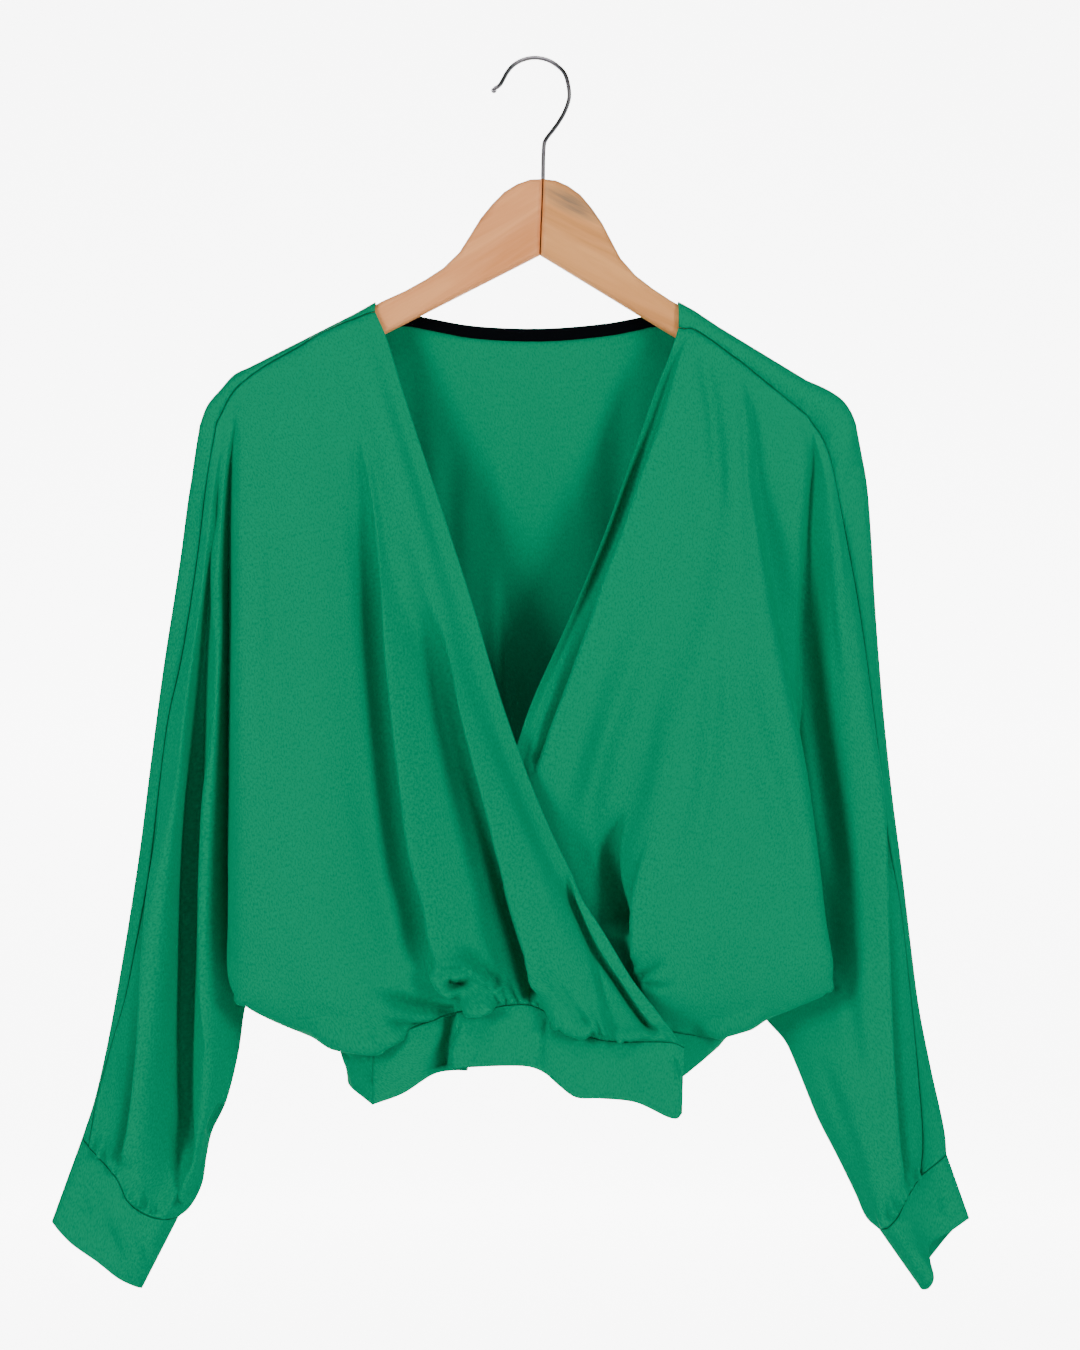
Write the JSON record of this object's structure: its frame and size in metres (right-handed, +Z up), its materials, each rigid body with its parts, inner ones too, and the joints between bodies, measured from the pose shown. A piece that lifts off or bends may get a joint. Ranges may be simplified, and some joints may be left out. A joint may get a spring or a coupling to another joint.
{
  "type": "wrap top on a wooden hanger",
  "caption": "Long-sleeved cropped wrap top in satiny green crepe jersey with gathered waistband and cuffs, hanging on a wooden hanger with a wire hook.",
  "frame": {"origin": "inside top of the hanger hook's crown, where the rail carries it", "axes": "+X to the viewer's right, the top's front faces -Y, +Z up"},
  "size_m": [0.6492, 0.0862, 0.8691],
  "materials": {
    "crepe": "satin",
    "binding": "matte",
    "pale_wood": "satin",
    "tan_wood": "satin",
    "hook_wire": "polished"
  },
  "bodies": {
    "root": {"front_over": "crepe", "front_under": "crepe", "back": "crepe", "neck_binding": "binding", "band_over": "crepe", "band_under": "crepe", "band_back": "crepe", "cuff_left": "crepe", "cuff_right": "crepe", "hanger_arm_left": "pale_wood", "hanger_arm_right": "tan_wood", "hook": "hook_wire"}
  },
  "joints": []
}
